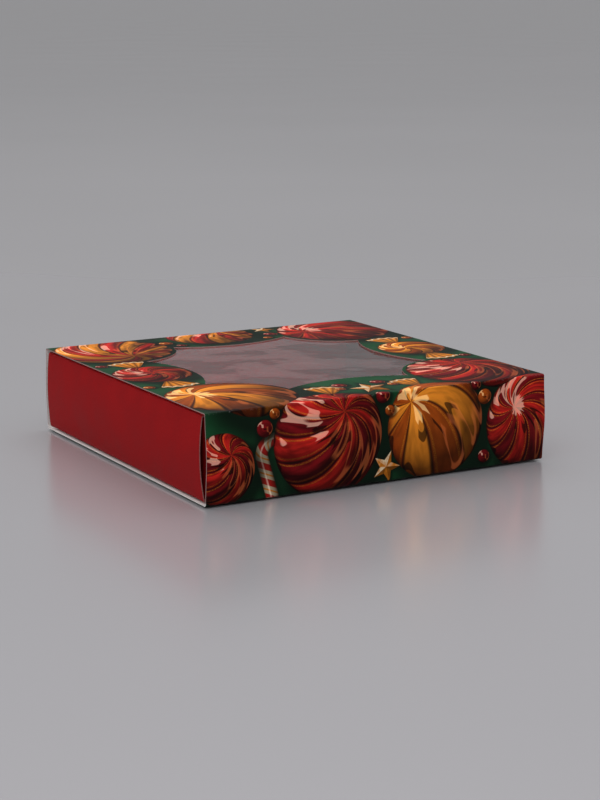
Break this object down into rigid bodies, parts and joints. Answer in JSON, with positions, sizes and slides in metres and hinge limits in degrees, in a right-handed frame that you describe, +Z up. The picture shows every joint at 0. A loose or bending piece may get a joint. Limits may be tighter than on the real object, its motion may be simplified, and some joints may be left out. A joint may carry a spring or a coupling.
{
  "type": "candy box",
  "caption": "Square printed carton sleeve with a scalloped film window, and a folded red tray that slides through it to hold sweets.",
  "frame": {"origin": "centre of the footprint, on the surface that the box lies on", "axes": "+X along the open sleeve, the way the tray slides; -Y towards the front wall; +Z up"},
  "size_m": [0.1484, 0.145, 0.0335],
  "materials": {
    "printed_board": "gloss",
    "red_board": "satin",
    "clear_film": "gloss",
    "dried_glue": "matte"
  },
  "bodies": {
    "sleeve": {"sleeve_top_panel": "printed_board", "sleeve_front_wall": "printed_board", "sleeve_bottom_panel": "printed_board", "sleeve_back_wall": "printed_board", "sleeve_glue_flap": "printed_board", "sleeve_seam_glue": "dried_glue", "window_film": "clear_film", "window_glue_frame": "dried_glue"},
    "tray": {"tray_base": "red_board", "tray_left_end_wall": "red_board", "tray_left_end_ridge": "red_board", "tray_left_end_lining": "red_board", "tray_right_end_wall": "red_board", "tray_right_end_ridge": "red_board", "tray_right_end_lining": "red_board", "tray_front_wall": "red_board", "tray_front_left_tab": "red_board", "tray_front_right_tab": "red_board", "tray_back_wall": "red_board", "tray_back_left_tab": "red_board", "tray_back_right_tab": "red_board"}
  },
  "joints": [
    {"name": "tray_slide", "type": "slide", "parent": "sleeve", "child": "tray", "axis": [1, 0, 0], "range_m": [-0.15, 0.15]}
  ]
}
